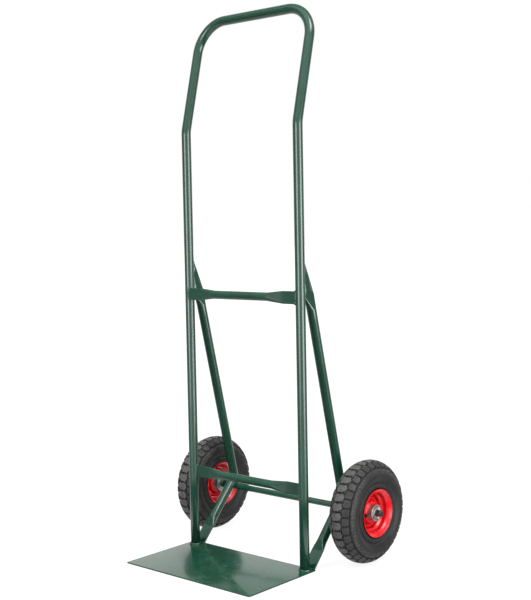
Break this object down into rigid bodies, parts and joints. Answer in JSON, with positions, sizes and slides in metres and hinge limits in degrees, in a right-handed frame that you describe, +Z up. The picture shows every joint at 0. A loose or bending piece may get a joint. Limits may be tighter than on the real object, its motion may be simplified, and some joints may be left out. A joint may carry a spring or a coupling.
{
  "type": "hand truck",
  "caption": "Two-wheeled upright hand truck with a bent round-tube frame, flat toe plate, crossbars, braces, a through axle and pneumatic wheels on pressed steel rims.",
  "frame": {"origin": "on the underside of the toe plate, in the plane of symmetry, midway between the feet of the two uprights", "axes": "+X to the right seen from the front, along the axle; -Y to the front, where the toe plate points; +Y to the back, where the wheels are; +Z up"},
  "size_m": [0.634, 0.523, 1.4205],
  "materials": {
    "green_paint": "glossy dark green powder coat",
    "red_paint": "glossy red enamel",
    "tyre_rubber": "matt dark grey tread rubber",
    "tube_rubber": "smooth black rubber",
    "zinc_steel": "zinc plated steel",
    "bearing_steel": "ground bearing steel",
    "cap_plastic": "black moulded plastic"
  },
  "bodies": {
    "frame": {"main_tube": "green_paint", "toe_plate": "green_paint", "crossbar_upper": "green_paint", "crossbar_lower": "green_paint", "axle": "green_paint", "rear_brace_left": "green_paint", "lower_brace_left": "green_paint", "axle_spacer_left": "green_paint", "washer_inner_left": "zinc_steel", "hub_spacer_left": "zinc_steel", "washer_outer_left": "zinc_steel", "split_pin_left": "zinc_steel", "bearing_inner_race_inboard_left": "bearing_steel", "bearing_inner_race_outboard_left": "bearing_steel", "rear_brace_right": "green_paint", "lower_brace_right": "green_paint", "axle_spacer_right": "green_paint", "washer_inner_right": "zinc_steel", "hub_spacer_right": "zinc_steel", "washer_outer_right": "zinc_steel", "split_pin_right": "zinc_steel", "bearing_inner_race_inboard_right": "bearing_steel", "bearing_inner_race_outboard_right": "bearing_steel"},
    "wheel_left": {"tyre_left": "tyre_rubber", "inner_tube_left": "tube_rubber", "rim_outboard_left": "red_paint", "rim_inboard_left": "red_paint", "valve_stem_left": "tube_rubber", "valve_cap_left": "cap_plastic", "hub_sleeve_left": "zinc_steel", "bearing_outer_race_inboard_left": "bearing_steel", "bearing_outer_race_outboard_left": "bearing_steel"},
    "ball_cages_left": {"ball_cage_inboard_left": "bearing_steel", "ball_cage_outboard_left": "bearing_steel"},
    "wheel_right": {"tyre_right": "tyre_rubber", "inner_tube_right": "tube_rubber", "rim_outboard_right": "red_paint", "rim_inboard_right": "red_paint", "valve_stem_right": "tube_rubber", "valve_cap_right": "cap_plastic", "hub_sleeve_right": "zinc_steel", "bearing_outer_race_inboard_right": "bearing_steel", "bearing_outer_race_outboard_right": "bearing_steel"},
    "ball_cages_right": {"ball_cage_inboard_right": "bearing_steel", "ball_cage_outboard_right": "bearing_steel"}
  },
  "joints": [
    {"name": "wheel_left_spin", "type": "hinge", "parent": "frame", "child": "wheel_left", "pos_m": [-0.2705, 0.159, 0.132], "axis": [1, 0, 0], "continuous": true},
    {"name": "ball_cages_left_spin", "type": "hinge", "parent": "frame", "child": "ball_cages_left", "pos_m": [-0.2705, 0.159, 0.132], "axis": [1, 0, 0], "continuous": true},
    {"name": "wheel_right_spin", "type": "hinge", "parent": "frame", "child": "wheel_right", "pos_m": [0.2705, 0.159, 0.132], "axis": [1, 0, 0], "continuous": true},
    {"name": "ball_cages_right_spin", "type": "hinge", "parent": "frame", "child": "ball_cages_right", "pos_m": [0.2705, 0.159, 0.132], "axis": [1, 0, 0], "continuous": true}
  ],
  "couplings": [
    {"joint": "ball_cages_left_spin", "follows": "wheel_left_spin", "ratio": 0.59},
    {"joint": "ball_cages_right_spin", "follows": "wheel_right_spin", "ratio": 0.59}
  ]
}
